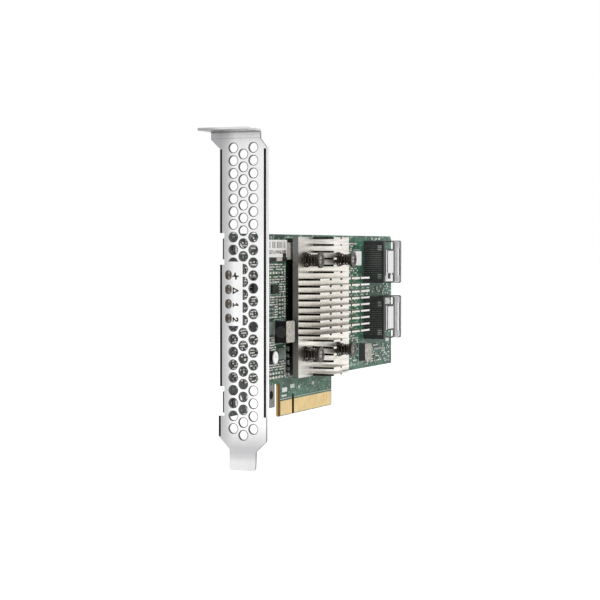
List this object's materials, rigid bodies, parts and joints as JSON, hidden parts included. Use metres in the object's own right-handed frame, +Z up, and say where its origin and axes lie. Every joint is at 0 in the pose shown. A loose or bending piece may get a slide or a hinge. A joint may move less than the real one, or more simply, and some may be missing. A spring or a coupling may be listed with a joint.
{
  "type": "host bus adapter",
  "caption": "Low-profile storage adapter board with a cross-cut heat sink, two internal cable ports, a gold card edge and a full-height vented bracket.",
  "frame": {"origin": "middle of the key notch at the bottom of the card edge, in the board's mid-plane", "axes": "+X out of the board's component face, +Y along the board away from the bracket, +Z up, away from the slot"},
  "size_m": [0.0215, 0.1799, 0.12],
  "materials": {
    "bracket_steel": "bright nickel-plated sheet",
    "screw_steel": "plated",
    "board_mask": "green solder mask over glass fibre",
    "gold": "gold plated",
    "sink_aluminium": "bare extruded aluminium",
    "dark_nylon": "dark nylon",
    "spring_steel": "dark spring steel",
    "chip_black": "moulded chip package",
    "pad_grey": "soft thermal pad",
    "port_black": "black moulding",
    "shell_steel": "folded plated sheet",
    "tinned_lead": "tinned copper",
    "white_label": "white film",
    "clear_guide": "milky clear moulding",
    "led_body": "small light bodies",
    "can_metal": "metal lid on ceramic",
    "coil_grey": "pressed iron powder",
    "can_aluminium": "bare aluminium",
    "ceramic_tan": "fired ceramic",
    "resistor_black": "glazed film"
  },
  "bodies": {
    "root": {"io_bracket": "bracket_steel", "bracket_screws": "screw_steel", "circuit_board": "board_mask", "edge_contacts": "gold", "heat_sink": "sink_aluminium", "push_pins": "dark_nylon", "push_pin_springs": "spring_steel", "controller_package": "chip_black", "thermal_pad": "pad_grey", "port_housing_upper": "port_black", "port_housing_lower": "port_black", "port_shell_upper": "shell_steel", "port_shell_lower": "shell_steel", "port_contacts_upper": "tinned_lead", "port_contacts_lower": "tinned_lead", "port_labels": "white_label", "light_guide": "clear_guide", "status_leds": "led_body", "board_label": "white_label", "clock_oscillator": "can_metal", "timing_crystal": "can_metal", "front_power_coil": "coil_grey", "rear_power_coil": "coil_grey", "power_coil_terminals": "tinned_lead", "round_capacitor_base": "port_black", "round_capacitor_can": "can_aluminium", "flash_memory": "chip_black", "flash_memory_leads": "tinned_lead", "power_chips": "chip_black", "ceramic_capacitors": "ceramic_tan", "chip_resistors": "resistor_black", "passive_ends": "tinned_lead"}
  },
  "joints": []
}
